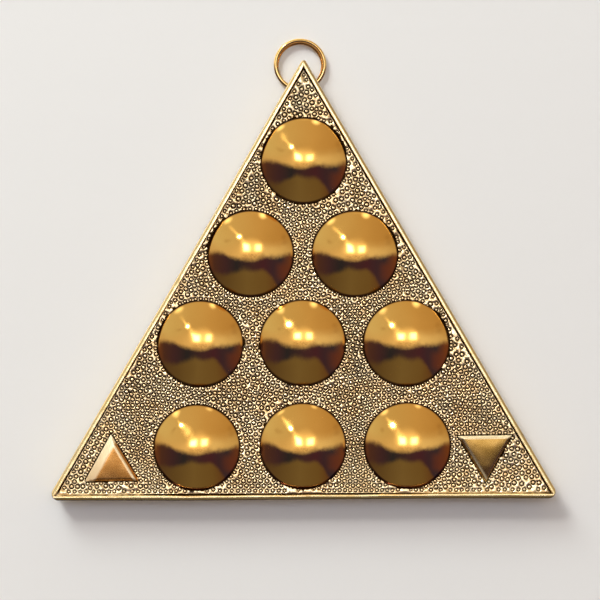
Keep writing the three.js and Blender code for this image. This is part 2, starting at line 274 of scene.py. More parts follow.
class Nodes:
    """Short names for building the node tree of a material or world."""

    def __init__(self, owner):
        owner.use_nodes = True
        self.owner = owner
        self.tree = owner.node_tree
        self.tree.nodes.clear()

    def feed(self, socket, value):
        """Links a value to an input, or sets the input to a number, colour or vector."""
        if isinstance(value, Value):
            self.tree.links.new(value.socket, socket)
        else:
            socket.default_value = (*value, 1) if socket.type == "RGBA" else value

    def make(self, kind, inputs=None, output=0, **settings):
        """Adds a node, feeds its inputs and gives one of its outputs."""
        n = self.tree.nodes.new(kind)
        for key, value in settings.items():
            setattr(n, key, value)
        for key, value in (inputs or {}).items():
            self.feed(n.inputs[key], value)
        return Value(self, n.outputs[output]) if n.outputs else None

    def math(self, operation, *values):
        return self.make("ShaderNodeMath", dict(enumerate(values)), operation=operation)

    def ramp(self, source, *stops, ease=True):
        """Maps a value from 0 to 1 through (place, colour) stops."""
        n = self.tree.nodes.new("ShaderNodeValToRGB")
        n.color_ramp.interpolation = "EASE" if ease else "LINEAR"
        elements = n.color_ramp.elements
        while len(elements) < len(stops):
            elements.new(0.5)
        for element, (place, colour) in zip(elements, stops):
            element.position = place
            element.color = (*colour, 1)
        self.feed(n.inputs[0], source)
        return Value(self, n.outputs[0])

    def span(self, source, low, high, to_low=0.0, to_high=1.0, smooth=True):
        inputs = dict(enumerate((source, low, high, to_low, to_high)))
        return self.make("ShaderNodeMapRange", inputs, interpolation_type="SMOOTHSTEP" if smooth else "LINEAR")

    def curve(self, source, *points):
        """Maps a value from -1 to 1 along a smooth curve through (value, result) points."""
        n = self.tree.nodes.new("ShaderNodeFloatCurve")
        curve = n.mapping.curves[0]
        while len(curve.points) < len(points):
            curve.points.new(0.5, 0.5)
        for point, (value, result) in zip(curve.points, points):
            point.location = (value / 2 + 0.5, result / 2 + 0.5)
        n.mapping.update()
        self.feed(n.inputs["Value"], source * 0.5 + 0.5)
        return Value(self, n.outputs[0]) * 2.0 - 1.0

    def noise(self, vector, per_mm, detail=2.0, roughness=0.5, distortion=0.0):
        inputs = {"Vector": vector, "Scale": per_mm / MM, "Detail": detail}
        inputs.update(Roughness=roughness, Distortion=distortion)
        return self.make("ShaderNodeTexNoise", inputs)

    def mix(self, factor, a, b):
        return self.make("ShaderNodeMix", {0: factor, 6: a, 7: b}, 2, data_type="RGBA")

    def place(self):
        return self.make("ShaderNodeTexCoord", output="Object")

    def stretched(self, vector, scale):
        return self.make("ShaderNodeMapping", {"Vector": vector, "Scale": scale})

    def axes(self, vector):
        n = self.tree.nodes.new("ShaderNodeSeparateXYZ")
        self.feed(n.inputs[0], vector)
        return [Value(self, output) for output in n.outputs]

    def attribute(self, name):
        return self.make("ShaderNodeAttribute", output="Fac", attribute_name=name)

    def bump(self, height, distance_mm, normal=None):
        inputs = {"Height": height, "Distance": distance_mm * MM, "Strength": 1.0}
        if normal:
            inputs["Normal"] = normal
        return self.make("ShaderNodeBump", inputs)

    def surface(self, colour, roughness, normal, metallic=1.0, **others):
        """Ends the tree of a material and gives the material."""
        inputs = {"Base Color": colour, "Roughness": roughness, "Normal": normal, "Metallic": metallic}
        inputs.update((name.replace("_", " "), value) for name, value in others.items())
        self.make("ShaderNodeOutputMaterial", {0: self.make("ShaderNodeBsdfPrincipled", inputs)})
        return self.owner


def dome_material():
    n = Nodes(bpy.data.materials.new("mirror_brass"))
    place = n.place()
    brass = n.ramp(n.noise(place, 0.05, 3), (0.3, (0.82, 0.455, 0.108)), (0.7, (0.87, 0.49, 0.122)))
    haze = n.noise(place, 0.11, 5, 0.6)
    swell = n.bump(n.noise(place, 0.075, 1), 0.22)
    scratches = n.noise(n.stretched(place, (1, 1, 7)), 1.6, 2, 0.6)
    return n.surface(
        # The tarnish layer paints a dark band round a dome's foot: tarnish at the joint, and painted shade that covers
        # a bright reflection there
        n.mix(n.attribute("tarnish"), brass, (0.10, 0.03, 0.022)),
        n.span(haze, 0.35, 0.75, 0.04, 0.11),
        n.bump(scratches, 0.0035, swell),
    )


def ground_material():
    n = Nodes(bpy.data.materials.new("punched_brass"))
    place = n.place()
    breakup = n.noise(place, 0.9, 4, 0.65)
    patches = n.noise(place, 0.05, 2)
    # The layer holds patina in the grooves and painted shade next to the domes and raised triangles
    amount = n.attribute("patina") + (breakup - 0.5) * 0.55 + (patches - 0.5) * 0.4
    # Painted light: towards the bottom the ground is made less dark, which lightens the shade it shows there
    low_down = n.span(n.axes(place)[2], -58 * MM, -44 * MM, 1.0, 0.0)
    dark = n.span(amount - low_down * 0.08, 0.24, 0.58)
    bright = n.ramp(n.noise(place, 0.16, 3), (0.3, (1.0, 0.705, 0.355)), (0.7, (1.0, 0.81, 0.49)))
    # Nearly black colour of the patina and of the painted shade
    patina_and_shade_colour = n.ramp(breakup, (0.3, (0.010, 0.004, 0.0006)), (0.7, (0.034, 0.015, 0.002)))

    # The ground leans up by a hair, towards the windows, and along the bottom a little more
    up = n.make("ShaderNodeCombineXYZ", {2: low_down * 0.05 + 0.06})
    grain = n.bump(n.noise(place, 1.8, 3), 0.03)
    leaning = n.make("ShaderNodeVectorMath", {0: grain, 1: up}, operation="ADD")
    return n.surface(
        n.mix(dark, bright, patina_and_shade_colour),
        n.span(dark, 0, 1, 0.31, 0.5, smooth=False),
        n.make("ShaderNodeVectorMath", {0: leaning}, operation="NORMALIZE"),
        Specular_Tint=n.mix(dark, (1.0, 1.0, 1.0), (0.01, 0.004, 0.001)),
    )


def rim_material():
    n = Nodes(bpy.data.materials.new("rim_brass"))
    place = n.place()
    tarnish = n.noise(place, 0.10, 5, 0.65)
    # The dark colour stands for patina at the bead's foot and for painted shade on the strips' outer slopes
    dark = n.span(n.attribute("patina") + (tarnish - 0.5) * 0.5, 0.3, 0.95)
    bright = n.ramp(tarnish, (0.32, (0.80, 0.585, 0.265)), (0.7, (0.92, 0.745, 0.41)))
    waves = n.bump(n.noise(place, 0.22, 2), 0.16)
    return n.surface(
        n.mix(dark, bright, (0.12, 0.065, 0.03)),
        n.span(tarnish, 0.3, 0.8, 0.17, 0.34),
        n.bump(n.noise(place, 1.5, 3), 0.02, waves),
    )


def satin_material(name, colour_a, colour_b, roughness):
    n = Nodes(bpy.data.materials.new(name))
    place = n.place()
    grain = n.noise(n.stretched(place, (1, 1, 2.2)), 2.6, 3, 0.7)
    mottled = n.noise(place, 0.14, 4) + (grain - 0.5) * 0.5
    rubbed = n.attribute("rubbed")
    # Painted highlight: where the layer is set, the colour turns pale cream and less metallic, so the lamps light it
    # like a glint
    return n.surface(
        n.mix(rubbed, n.ramp(mottled, (0.3, colour_a), (0.7, colour_b)), (1.0, 0.85, 0.54)),
        n.span(grain, 0.3, 0.8, roughness - 0.05, roughness + 0.05) + rubbed * 0.09,
        n.bump(grain, 0.009),
        1.0 - rubbed * 0.5,
    )


def wire_material():
    n = Nodes(bpy.data.materials.new("wire_brass"))
    place = n.place()
    tone = n.noise(place, 0.12, 4, 0.6)
    # Painted shade: the second turn is a darker copy of the brass, and a dark line is painted in the crease between
    # the turns
    inner = n.attribute("second_turn")
    line = n.span(inner, 0.1, 0.25) * n.span(inner, 0.4, 0.6, 1.0, 0.0)
    brass = n.ramp(tone, (0.3, (0.74, 0.47, 0.16)), (0.7, (0.84, 0.58, 0.24)))
    brass = n.mix(n.span(inner, 0.2, 0.5), brass, (0.60, 0.30, 0.085))
    return n.surface(
        n.mix(line * 0.75, brass, (0.10, 0.045, 0.02)),
        n.span(tone, 0.3, 0.8, 0.07, 0.18),
        n.bump(n.noise(place, 0.5, 3), 0.015),
    )


def small_parts_material(name, colour_a, colour_b):
    n = Nodes(bpy.data.materials.new(name))
    place = n.place()
    tone = n.noise(place, 0.4, 4, 0.65)
    return n.surface(
        n.ramp(tone, (0.3, colour_a), (0.7, colour_b)),
        n.span(tone, 0.3, 0.8, 0.42, 0.26),
        n.bump(n.noise(n.stretched(place, (0.6, 1, 4)), 1.2, 3), 0.03),
    )


def wood_material():
    n = Nodes(bpy.data.materials.new("bare_wood"))
    place = n.place()
    bend = n.noise(place, 0.012, 2)
    grain = n.noise(n.stretched(place, (0.05, 1, 1)), 0.55, 5, 0.6, 0.6)
    rings = n.noise(n.stretched(place, (0.03, 0.6, 1)), 0.09, 2, 0.5, 1.2)
    tone = grain * 0.45 + rings * 0.55 + (bend - 0.5) * 0.3
    return n.surface(
        n.ramp(tone, (0.32, (0.145, 0.075, 0.035)), (0.5, (0.30, 0.175, 0.090)), (0.68, (0.42, 0.27, 0.15))),
        n.span(grain, 0.3, 0.7, 0.85, 0.68),
        n.bump(grain, 0.12),
        0.0,
    )


def felt_material():
    n = Nodes(bpy.data.materials.new("pressed_felt"))
    place = n.place()
    fibres = n.noise(place, 1.6, 6, 0.75, 1.5)
    tone = fibres * 0.6 + n.noise(place, 0.06, 3) * 0.4
    colour = n.ramp(tone, (0.3, (0.030, 0.014, 0.011)), (0.7, (0.075, 0.038, 0.030)))
    return n.surface(colour, 1.0, n.bump(fibres, 0.25), 0.0, Sheen_Weight=0.35, Sheen_Roughness=0.6)


DOME_BRASS = dome_material()
GROUND_BRASS = ground_material()
RIM_BRASS = rim_material()
# The raised triangles are one satin brass: their colours differ by painted reflection, red on the one pointing up, and
# darker olive with painted shade on the one pointing down
SATIN_BRASS_PAINTED_RED_REFLECTION = satin_material("satin_brass_painted_red_reflection", (0.44, 0.197, 0.045), (0.64, 0.318, 0.090), 0.30)
SATIN_BRASS_PAINTED_DARK_REFLECTION = satin_material("satin_brass_painted_dark_reflection", (0.315, 0.179, 0.041), (0.455, 0.270, 0.076), 0.25)
WIRE_BRASS = wire_material()
STRAP_BRASS = small_parts_material("strap_brass", (0.62, 0.42, 0.18), (0.80, 0.58, 0.28))
NAIL_BRASS = small_parts_material("nail_brass", (0.70, 0.50, 0.22), (0.88, 0.67, 0.34))
WOOD = wood_material()
FELT_CLOTH = felt_material()

# Places
DOMES = [node_centre(f"dome_{i}") for i in range(1, 10)]
DOME_CENTRES = [vec2(c.x, c.z) for c in DOMES]


def boss_corners(node, first):
    """The three corners of a raised triangle in plan, from the box of its solid."""
    low, _ = node_box(node)
    turn = math.radians(BOSS_TURN)
    radius = BOSS_SIDE / math.sqrt(3)
    angles = [first + turn + i * 2 * math.pi / 3 for i in range(3)]
    offsets = [vec2(radius * math.cos(a), radius * math.sin(a)) for a in angles]
    centre = vec2(low.x - min(o.x for o in offsets), low.z - min(o.y for o in offsets))
    return [centre + o for o in offsets]


BOSSES = {
    "triangle_up": boss_corners("triangle_up", math.pi / 2),
    "triangle_down": boss_corners("triangle_down", -math.pi / 2),
}

# Punched ground
MARK_RADIUS = 1.21
MARK_SPACING = 2.58
MARK_SIDES = 10
FIRST_ROW = 1.02  # from a dome, raised triangle or groove to the first row's middles
FIRST_SPACING = 1.04 * MARK_SPACING  # that the marks are pushed to
PUSH_TURNS, SHAKEN_TURNS, REFRESH_TURNS = 90, 60, 6
PUSH_SHARE = 0.21
ROW_REACH = 0.8  # marks this close to the first row are drawn to it
ROW_PULL = 0.22
LEAST_SPACING, LEAST_FILL_SPACING = 1.8, 2.0
BATCH = 2000
WEB, SEAM, NOBODY = -1, -2, -9  # who owns a point that belongs to no mark

# Rings of a mark from its lip inwards: radius, height in groove depths, further height, patina
MARK_RINGS = ((1.10, -0.9, 0.0, 1.5), (0.87, -1.0, 0.0, 1.6), (0.70, 0.0, -0.04, 0.5), (0.53, 0.0, 0.11, 0.0))

# Shallow dark seams as (distance, height, patina): from a dome's edge, a raised triangle's and the outline
DOME_SEAMS = ((0.06, -0.12, 1.0), (-0.5, -0.12, 1.1))
BOSS_SEAMS = ((0.04, -0.28, 1.2), (-0.5, -0.1, 1.1))
RIM_SEAMS = ((BEAD_WIDTH + 0.58, 0.05, 0.15), (BEAD_WIDTH + 0.36, -0.32, 1.35), (BEAD_WIDTH - 0.1, -0.3, 1.3))


def clearance_and_slope(points):
    """How far points are from the nearest thing on the ground, and which way is away from it."""
    options, slopes = [], []
    for side in SIDES:
        inward = np.array(side.inward)
        options.append((points - np.array(side.start)) @ inward - BEAD_WIDTH - GROOVE_WIDTH)
        slopes.append(np.broadcast_to(inward, points.shape))
    for centre in DOME_CENTRES:
        away = points - np.array(centre)
        length = np.linalg.norm(away, axis=1)
        options.append(length - DOME_RADIUS)
        slopes.append(away / np.maximum(length, 1e-9)[:, None])
    for corners in BOSSES.values():
        plan = [np.array(c) for c in corners]
        middle = sum(plan) / 3
        nearest = np.full(len(points), 1e9)
        slope = np.zeros(points.shape)
        inside = np.ones(len(points), bool)
        for k in range(3):
            start, edge = plan[k], plan[(k + 1) % 3] - plan[k]
            share = np.clip((points - start) @ edge / (edge @ edge), 0, 1)
            away = points - start - share[:, None] * edge
            length = np.linalg.norm(away, axis=1)
            closer = length < nearest
            nearest[closer] = length[closer]
            slope[closer] = away[closer] / np.maximum(length[closer], 1e-9)[:, None]
            normal = np.array([edge[1], -edge[0]])
            normal *= -np.sign((middle - start) @ normal)
            inside &= (points - start) @ normal <= 0
        nearest[inside] *= -1
        slope[inside] *= -1
        options.append(nearest)
        slopes.append(slope)
    options = np.array(options)
    pick = options.argmin(axis=0)
    each = np.arange(len(points))
    return options[pick, each], np.array(slopes)[pick, each]


def mark_places():
    """Middles of the punch marks: close together, in rows where they follow an edge."""
    chance = np.random.default_rng(9)
    low = np.array([LEFT.x, LEFT.y])
    high = np.array([RIGHT.x, APEX.y])
    tries = chance.uniform(low, high, (40000, 2))
    clear, _ = clearance_and_slope(tries)
    area = (high - low).prod() * (clear > FIRST_ROW - 0.5).mean()
    count = int(area / (MARK_SPACING**2 * math.sqrt(3) / 2))
    points = tries[clear > FIRST_ROW][:count]
    for turn in range(PUSH_TURNS):
        if turn % REFRESH_TURNS == 0:
            reach = ((points[:, None] - points[None]) ** 2).sum(axis=2)
            first, second = np.nonzero(np.triu(reach < (2 * FIRST_SPACING) ** 2, 1))
        apart = points[first] - points[second]
        length = np.linalg.norm(apart, axis=1)
        push = np.maximum(FIRST_SPACING - length, 0) / np.maximum(length, 1e-6)
        step = PUSH_SHARE * apart * push[:, None]
        np.add.at(points, first, step)
        np.add.at(points, second, -step)
        if turn < SHAKEN_TURNS:
            points = points + chance.normal(0, 0.09 * (1 - turn / SHAKEN_TURNS), points.shape)
        clear, slope = clearance_and_slope(points)
        pull = np.where(clear < FIRST_ROW, 1.0, np.where(clear < FIRST_ROW + ROW_REACH, ROW_PULL, 0.0))
        points = points + slope * (pull * (FIRST_ROW - clear))[:, None]
    points = points + chance.normal(0, 0.035, points.shape)
    clear, _ = clearance_and_slope(points)
    points = points[clear > FIRST_ROW - 0.3]

    # Marks that came too close are dropped, and gaps that are wide enough are filled
    tries = chance.uniform(low, high, (60000, 2))
    clear, _ = clearance_and_slope(tries)
    tries = tries[clear > FIRST_ROW - 0.32]
    kept = []
    for group, spacing in ((points, LEAST_SPACING), (tries, LEAST_FILL_SPACING)):
        for start in range(0, len(group), BATCH):
            batch = group[start : start + BATCH]
            if kept:
                away = ((batch[:, None] - np.array(kept)[None]) ** 2).sum(axis=2).min(axis=1)
                batch = batch[away > spacing**2]
            added = []
            for p in batch:
                if all((p[0] - q[0]) ** 2 + (p[1] - q[1]) ** 2 > spacing**2 for q in added):
                    added.append(p)
            kept.extend(added)
    return [vec2(*p) for p in kept]


def build_ground():
    places = mark_places()
    tree = KDTree(len(places))
    for i, p in enumerate(places):
        tree.insert((p.x, p.y, 0), i)
    tree.balance()
    points, heights, patinas, owner, edges = [], [], [], [], []

    def add(p, height, patina, who):
        points.append(p)
        heights.append(height)
        patinas.append(patina)
        owner.append(who)

    def nearest_marks(x, z, count):
        return [(k, away) for _, k, away in tree.find_n((x, z, 0), count)]

    def join(first, count):
        edges.extend((first + k, first + (k + 1) % count) for k in range(count))

    rooms, _ = clearance_and_slope(np.array([(p.x, p.y) for p in places]))
    marks = []
    for i, (p, room) in enumerate(zip(places, rooms.tolist())):
        gap = nearest_marks(p.x, p.y, 2)[1][1]
        lip = min(MARK_RADIUS * random.uniform(0.95, 1.07), gap / 2 - 0.015, room - 0.06)
        tilt = min(abs(random.gauss(0, 0.3)), 0.8)
        toward = random.uniform(0, math.tau)
        depth = random.uniform(0.42, 0.56)
        # A mark's darkness is its own patina, plus painted shade when the mark stands close to anything on the sheet
        darkness = random.uniform(0.8, 1.1) + 0.06 * max(0.0, 1 - (room - 1) / 2.2)
        swing = random.uniform(0, math.tau)
        marks.append((p, lip, tilt, toward, depth, darkness, swing))
        join(len(points), MARK_SIDES)
        for k in range(MARK_SIDES):
            angle = swing + math.tau * k / MARK_SIDES
            lift = 0.05 * random.uniform(-1, 1) - 0.06 * tilt * math.cos(angle - toward)
            add(p + lip * vec2(math.cos(angle), math.sin(angle)), lift, 0.36, i)

    # Raised places in the web, midway between neighbours that leave room for one
    for i, p in enumerate(places):
        for j, gap in nearest_marks(p.x, p.y, 7)[1:]:
            if j <= i or gap > 3.6 or gap - marks[i][1] - marks[j][1] < 0.35:
                continue
            middle = (p + places[j]) / 2
            around = nearest_marks(middle.x, middle.y, 4)
            if min((middle - places[k]).length - marks[k][1] for k, _ in around) > 0.16:
                add(middle, 0.03 + 0.05 * random.random(), 0.12, WEB)

    # Smooth raised ground where there is no room for a mark
    chance = np.random.default_rng(21)
    tries = chance.uniform((LEFT.x, LEFT.y), (RIGHT.x, APEX.y), (30000, 2))
    clear, _ = clearance_and_slope(tries)
    bare_places = []
    for x, z in tries[clear > 0.22]:
        if min(away - marks[k][1] for k, away in nearest_marks(x, z, 3)) < 0.3:
            continue
        if all((x - q.x) ** 2 + (z - q.y) ** 2 > 0.36 for q in bare_places):
            bare_places.append(vec2(x, z))
            add(vec2(x, z), 0.05, 0.1, WEB)

    # Painted shade darkens the ground next to the domes and raised triangles, away from the rim
    rooms, _ = clearance_and_slope(np.array([(p.x, p.y) for p in points]))
    for i, room in enumerate(rooms):
        if distance_inside(points[i]) > BEAD_WIDTH + 1.3:
            patinas[i] += 0.3 * max(0.0, 1 - room / 0.6)

    def add_seam(loop, height, patina):
        join(len(points), len(loop))
        for p in loop:
            clean = 0.0
            if p.y < LEFT.y + BEAD_WIDTH + 1.5:
                clean = base_end_share(p.x) * (0.75 + 0.3 * wobble(p.x, 0, 0, 4, 7.0))
            add(p, height * (1 - 0.6 * clean), patina * (1 - 0.75 * clean), SEAM)

    dome_sides = 80
    around_dome = [math.tau * k / dome_sides for k in range(dome_sides)]
    for centre in DOME_CENTRES:
        for distance, height, patina in DOME_SEAMS:
            reach = DOME_RADIUS + distance
            add_seam([centre + reach * vec2(math.cos(a), math.sin(a)) for a in around_dome], height, patina)
    for corners in BOSSES.values():
        centre = (corners[0] + corners[1] + corners[2]) / 3
        for distance, height, patina in BOSS_SEAMS:
            grown = [c + (c - centre).normalized() * 2 * distance for c in corners]
            loop = [grown[k].lerp(grown[(k + 1) % 3], m / 12) for k in range(3) for m in range(12)]
            add_seam(loop, height, patina)
    for distance, height, patina in RIM_SEAMS:
        add_seam(subdivided(outline(distance), 1.6), height, patina)
    border_first = len(points)
    add_seam(subdivided(outline(RIM_WALL + EDGE_GAP), 2.4), -0.3, 1.0)
    border_end = len(points)

    # The web between the marks
    out_points, _, triangles, originals = delaunay_2d_cdt(points, edges, [], 0, 1e-6, True)[:4]
    source = [o[0] if o else None for o in originals]
    vertices, values, faces, out_of = [], [], [], {}

    def vertex(p, height, patina):
        vertices.append((p.x, FACE - height, p.y))
        values.append(patina)
        return len(vertices) - 1

    for p, first in zip(out_points, source):
        height, patina = (-0.1, 0.6) if first is None else (heights[first], patinas[first])
        if height > -0.1:
            height += 0.05 * wobble(p.x, 0, p.y, 5.5)
        out_of[first] = vertex(p, height, patina)
    for triangle in triangles:
        owners = {NOBODY if source[v] is None else owner[source[v]] for v in triangle}
        if len(owners) == 1 and owners.pop() > WEB:
            continue
        middle = (out_points[triangle[0]] + out_points[triangle[1]] + out_points[triangle[2]]) / 3
        if distance_inside(middle) >= RIM_WALL + EDGE_GAP - 0.02:
            faces.append(tuple(triangle))

    # The groove and the pearl of every mark
    for i, (p, lip, tilt, toward, depth, darkness, swing) in enumerate(marks):
        size = lip / MARK_RADIUS
        outer = [out_of[i * MARK_SIDES + k] for k in range(MARK_SIDES)]
        middle = p + 0.1 * tilt * vec2(math.cos(toward), math.sin(toward))
        for radius, depths, further, patina in MARK_RINGS:
            ring = []
            for k in range(MARK_SIDES):
                angle = swing + math.tau * k / MARK_SIDES
                lean = tilt * math.cos(angle - toward)
                where = middle + radius * size * vec2(math.cos(angle), math.sin(angle))
                height = (depths * depth + further) * (1 + 0.55 * lean) + 0.02 - 0.10 * lean * radius
                ring.append(vertex(where, height, patina * darkness * (1 + 0.35 * lean)))
            for k in range(MARK_SIDES):
                m = (k + 1) % MARK_SIDES
                faces.append((outer[k], outer[m], ring[m], ring[k]))
            outer = ring
        top = vertex(middle, 0.15, 0.0)
        faces.extend((outer[k], outer[(k + 1) % MARK_SIDES], top) for k in range(MARK_SIDES))

    border = [out_of[k] for k in range(border_first, border_end)]
    close_behind(vertices, faces, border, FACE + SHEET)
    values += [1.0] * len(border)
    add_piece("punched_ground", vertices, faces, GROUND_BRASS, "antique_brass", "face_sheet", patina=values)


# Rim
MITRE_GAP = 0.1
ARC_STEPS = 6
STRAIGHT_STEPS = 110

# Tops of the strips from the inner edge outwards, as (inward distance, height, patina and painted shade).
# Past the crest the last value is patina plus painted shade on the outer slope, most on the lower strip, whose outer
# slope faces down.
SIDE_TOP = [
    (2.08, 1.56, 0.15), (1.95, 1.66, 0.0), (1.5, 1.63, 0.0), (1.12, 1.55, 0.2), (0.86, 1.45, 0.5),
    (0.61, 1.30, 0.58), (0.39, 1.11, 0.6), (0.21, 0.87, 0.6), (0.08, 0.57, 0.5), (0.0, 0.2, 0.4),
]
BOTTOM_TOP = [
    (2.12, 1.44, 0.15), (2.0, 1.54, 0.0), (1.72, 1.60, 0.0), (1.42, 1.63, 0.0), (1.18, 1.60, 0.05),
    (0.95, 1.50, 0.2), (0.7, 1.33, 0.45), (0.46, 1.09, 0.6), (0.23, 0.79, 0.75), (0.08, 0.5, 0.85), (0.0, 0.2, 0.85),
]
DENTS = [  # place in plan, depth, width
    (vec2(98.6, -37.0), 0.30, 1.3),
    (vec2(100.6, -41.5), 0.22, 1.1),
    (vec2(-103.4, -47.5), 0.25, 1.0),
    (vec2(-95.0, -64.4), 0.22, 0.9),
    (vec2(34.0, -64.6), 0.15, 1.5),
    (vec2(-58.0, 32.0), 0.16, 1.2),
    (vec2(40.5, 61.5), 0.14, 1.3),
]


def strip_section(top, wall_patina):
    """Closed section of a rim strip as (inward distance, height above the sheet, patina)."""
    back = -(BOARD + SHEET)
    return [
        (LIP_WIDTH - 0.02, back, 0.5),
        (RIM_WALL, back, 0.6),
        (RIM_WALL, 0.0, 0.6),
        (BEAD_WIDTH, 0.0, 1.4),
        (BEAD_WIDTH, BEAD_FOOT * 0.6, 1.3),
        (BEAD_WIDTH - 0.03, 0.9, 1.0),
        (BEAD_WIDTH - 0.1, 1.3, 0.6),
        *top,
        (0.0, -0.8, wall_patina),
        (0.0, back * 0.5, wall_patina),
        (0.0, back - RIM_WALL + 0.45, wall_patina),
        (0.12, back - RIM_WALL + 0.14, 0.2),
        (0.45, back - RIM_WALL, 0.2),
        (LIP_WIDTH - 0.25, back - RIM_WALL, 0.35),
        (LIP_WIDTH, back - RIM_WALL + 0.2, 0.5),
    ]


def strip_vertex(side, p, distance, height, patina):
    """A vertex of a strip and its patina, with the unevenness of handwork."""
    i = SIDES.index(side)
    t = (p - side.start).dot(side.along)
    ends = min(t, side.length - t)
    inset = MITRE_GAP * clamp(1 - (ends - 4) / 4)
    q = p + side.along * (inset if t < side.length / 2 else -inset)
    fade = clamp((ends - 5) / 15)
    if height > -1:
        inner = distance / BEAD_WIDTH
        sway = 0.10 * wobble(t, 0, 3 * i, 24, 2.0) + 0.05 * wobble(t, 0, 3 * i, 6, 5.0)
        if side is BOTTOM:
            sway += 0.22 * wobble(t, 0, 0, 13, 8.0)
        q = q + side.inward * (sway * inner + 0.04) * fade * (1 if inner > 0.1 else 0.4)
        height += (0.05 * wobble(t, 1, i, 9, 3.0) + 0.03 * wobble(t, distance, i, 3.0, 4.0)) * fade
        height -= 0.05
        if side is BOTTOM and distance > BEAD_WIDTH - 0.2:
            patina *= 1 - 0.6 * base_end_share(p.x)
        for place, depth, width in DENTS:
            if height > 0.5:
                height -= depth * math.exp(-((p - place).length / width) ** 2)
    if side is BOTTOM:
        bow = 0.26 * math.exp(-(((p.x + 48) / 34) ** 2)) - 0.16 * math.exp(-(((p.x - 62) / 30) ** 2))
        q = q - vec2(0, bow * fade)
    if side is LEFT_SIDE:
        q = q + side.inward * 0.5 * math.sin(math.pi * t / side.length) ** 2
    return (q.x, FACE - height, q.y), patina


def build_rim(side):
    # The lower strip's outer wall faces down and gets more painted shade besides its patina
    section = strip_section(BOTTOM_TOP, 0.8) if side is BOTTOM else strip_section(SIDE_TOP, 0.35)
    i = SIDES.index(side)
    vertices, values = [], []
    for distance, height, patina in section:
        arcs = []
        for other, rounding in zip((SIDES[i - 1], SIDES[(i + 1) % 3]), side.roundings):
            centre, radius = corner_circle(side, other, distance, rounding, 0.06)
            middle = (side.inward + other.inward).normalized()
            shares = [k / ARC_STEPS for k in range(ARC_STEPS + 1)]
            arcs.append([centre - radius * middle.lerp(side.inward, share).normalized() for share in shares])
        start, finish = arcs[0][-1], arcs[1][-1]
        straight = [start.lerp(finish, k / STRAIGHT_STEPS) for k in range(1, STRAIGHT_STEPS)]
        path = arcs[0] + straight + arcs[1][::-1]
        for p in path:
            corner, dirt = strip_vertex(side, p, distance, height, patina)
            vertices.append(corner)
            values.append(dirt)
    rows, columns = len(section), len(path)
    faces = grid_faces(rows, columns, close_rows=True)
    faces.append(tuple(a * columns for a in range(rows)))
    faces.append(tuple(a * columns + columns - 1 for a in reversed(range(rows))))
    add_piece(side.node + "_strip", vertices, faces, RIM_BRASS, "rim_brass", side.node, sharp_angle=40, patina=values)


# Domes
# Which way each dome is slightly off: how far that moves what it mirrors to the right and up, in
# dome radii, how much more its middle is curved, and how much further it moves the lamp
DOME_FAULTS = [
    (-0.01, -0.055, 0.16, 0.06, -0.09), (0.018, -0.012, 0.0, 0.07, -0.05), (0.02, -0.025, 0.03, 0.075, -0.055),
    (0.045, -0.005, 0.0, 0.02, -0.05), (0.006, 0.012, 0.0, 0.0, 0.0), (0.02, 0.013, 0.02, -0.02, -0.02),
    (0.02, -0.042, 0.0, -0.055, 0.07), (0.03, -0.068, 0.02, 0.055, -0.055), (0.022, -0.055, 0.03, 0.01, 0.0),
]
LAMP_PLACE = vec2(-0.35, 0.465)  # where a dome shows the lamp, in dome radii
LAMP_REACH = 3.6  # width of the uneven place there
FOOT_EASE = 0.45  # four times how far the flank lies inside the sphere, which makes the foot less steep
DOME_SIDES = 112
DOME_OUTER_STEPS, DOME_INNER_STEPS = 32, 8
FOOT_TARNISH_AND_SHADE = 0.5  # width of the dark band at a dome's foot: tarnish and painted shade
LOW_ROW_BOTTOM_SHADE, OTHER_ROWS_BOTTOM_SHADE = 0.8, 0.2  # how much wider the painted shade gets at the bottom of a dome


def dome_profile(sphere):
    """From the middle of the hollow side, round the foot, to the crown."""
    sink = DOME_RISE - sphere
    inner = sphere - DOME_WALL
    inner_foot = math.asin(math.sqrt(inner**2 - sink**2) / inner)
    outer_foot = math.asin(DOME_RADIUS / sphere)
    profile = []
    for i in range(DOME_INNER_STEPS + 1):
        a = inner_foot * i / DOME_INNER_STEPS
        profile.append((inner * math.sin(a), sink + inner * math.cos(a)))
    for i in range(DOME_OUTER_STEPS, -1, -1):
        a = outer_foot * i / DOME_OUTER_STEPS
        share = (sphere * math.sin(a) / DOME_RADIUS) ** 2
        profile.append((sphere * math.sin(a), sink + sphere * math.cos(a) - FOOT_EASE * share * (1 - share)))
    return profile


